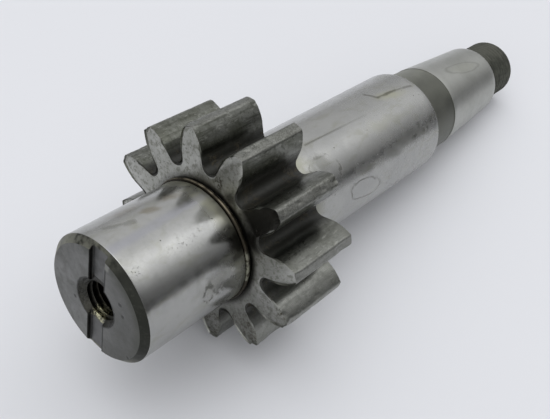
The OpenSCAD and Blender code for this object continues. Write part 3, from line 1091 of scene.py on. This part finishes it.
for piece, node, slot in (
    (shaft, "shaft", "shaft_steel"),
    (pinion, "pinion", "pinion_steel"),
    (front_ring, "front_retaining_ring", "ring_steel"),
    (rear_ring, "rear_retaining_ring", "ring_steel"),
):
    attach(piece, "root")
    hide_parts(node)

# The key keeps its CAD mesh.
set_materials(frame["nodes"]["pinion_key"], key_look())


# --- Floor, camera and light. Lengths are in metres from here on.


def flat_object(name, corners, shader_values):
    """A single face with a plain material."""
    mesh = bpy.data.meshes.new(name)
    mesh.from_pydata(corners, [], [tuple(range(len(corners)))])
    material = bpy.data.materials.new(name)
    material.use_nodes = True
    shader = material.node_tree.nodes["Principled BSDF"]
    for socket, value in shader_values.items():
        shader.inputs[socket].default_value = value
    mesh.materials.append(material)
    return linked(name, mesh)


UNDER_GEAR = Vector((HALF_FACE * MM, 0, -REST_R * MM))
FLOOR_HALF = 3.0

floor = flat_object(
    "floor",
    [(x * FLOOR_HALF, y * FLOOR_HALF, 0) for x, y in ((-1, -1), (1, -1), (1, 1), (-1, 1))],
    {"Base Color": (0.76, 0.765, 0.785, 1), "Roughness": 0.9, "Specular IOR Level": 0.0})
floor.location = UNDER_GEAR
floor.rotation_euler = (0, -LEAN, 0)

AIM = Vector((0.01355, -0.00256, -0.00181))
AZIMUTH = radians(-55.54)
ELEVATION = radians(38.555)
ROLL = radians(10.478)
DISTANCE = 0.19352
LENS = 51.05

camera_data = bpy.data.cameras.new("camera")
camera_data.lens = LENS
camera_data.sensor_width = 36.0
camera_data.clip_start = 0.01
camera_data.clip_end = 50.0
camera = linked("camera", camera_data)
back = Vector((
    sin(AZIMUTH) * cos(ELEVATION),
    -cos(AZIMUTH) * cos(ELEVATION),
    sin(ELEVATION),
))
camera.location = AIM + back * DISTANCE
level = Vector((cos(AZIMUTH), sin(AZIMUTH), 0))
upright = back.cross(level)
right = level * cos(ROLL) + upright * sin(ROLL)
up = back.cross(right)
camera.rotation_mode = "QUATERNION"
camera.rotation_quaternion = Matrix((right, up, back)).transposed().to_quaternion()
bpy.context.scene.camera = camera

# Azimuth, elevation, power of the falloff and strength of each glow
GLOWS = (
    (0.0, 90.0, 6.0, 1.95),
    (-26.0, 44.0, 28.0, 1.2),
    (-46.0, 33.0, 40.0, 0.36),
    (-40.0, 21.0, 25.0, 0.26),
    (50.0, 32.0, 4.0, 0.72),
    (-5.0, 27.0, 14.0, 0.55),
    (-162.0, 14.0, 6.0, 1.25),
    (-140.0, 48.0, 10.0, 0.5),
)
ROOM_LIGHT = 0.16


def direction(azimuth, elevation):
    """A direction above the floor: azimuth 0 looks from the pinion to the tail, -90 towards -Y."""
    a, e = radians(azimuth), radians(elevation)
    along = Vector((cos(LEAN), 0, sin(LEAN)))
    upwards = Vector((-sin(LEAN), 0, cos(LEAN)))
    level_way = along * cos(a) + Vector((0, 1, 0)) * sin(a)
    return level_way * cos(e) + upwards * sin(e)


def studio_world():
    """A soft room: brightest overhead, with broad glows from several sides."""
    studio = bpy.data.worlds.new("studio")
    studio.use_nodes = True
    tree = studio.node_tree
    place = tree.nodes.new("ShaderNodeTexCoord")

    def towards(azimuth, elevation):
        node = tree.nodes.new("ShaderNodeVectorMath")
        node.operation = "DOT_PRODUCT"
        tree.links.new(place.outputs["Generated"], node.inputs[0])
        node.inputs[1].default_value = direction(azimuth, elevation)
        return node.outputs["Value"]

    def math_node(operation, *values):
        node = tree.nodes.new("ShaderNodeMath")
        node.operation = operation
        for socket, value in zip(node.inputs, values):
            if isinstance(value, float):
                socket.default_value = value
            else:
                tree.links.new(value, socket)
        return node.outputs[0]

    total = None
    for azimuth, elevation, power, strength in GLOWS:
        glow = math_node("POWER", math_node("MAXIMUM", towards(azimuth, elevation), 0.0), power)
        glow = math_node("MULTIPLY", glow, strength)
        total = glow if total is None else math_node("ADD", total, glow)
    background = tree.nodes["Background"]
    background.inputs["Color"].default_value = (0.965, 0.975, 1.0, 1)
    tree.links.new(math_node("ADD", total, ROOM_LIGHT), background.inputs["Strength"])
    return studio


def dark_card(name, outline, shade):
    """A dark card that only reflections see. Its corners are (along, away, up) from under the pinion."""
    steps = direction(0, 0), direction(-90, 0), direction(0, 90)
    corners = [tuple(UNDER_GEAR + steps[0] * a + steps[1] * b + steps[2] * c) for a, b, c in outline]
    card = flat_object(name, corners, {"Base Color": (shade, shade, shade, 1), "Roughness": 1.0})
    card.visible_camera = False
    card.visible_diffuse = False
    card.visible_shadow = False


bpy.context.scene.world = studio_world()
WALL = (0.0, 0.21, 0.014), (0.9, 0.21, 0.014), (0.9, 0.21, 0.062), (0.0, 0.21, 0.062)
MAT = (0.14, 0.20, 0.001), (0.17, 0.06, 0.001), (0.9, 0.05, 0.001), (0.9, 0.20, 0.001)
dark_card("dark_wall", WALL, 0.16)
dark_card("dark_floor", MAT, 0.18)
bpy.context.scene.view_settings.view_transform = "Standard"
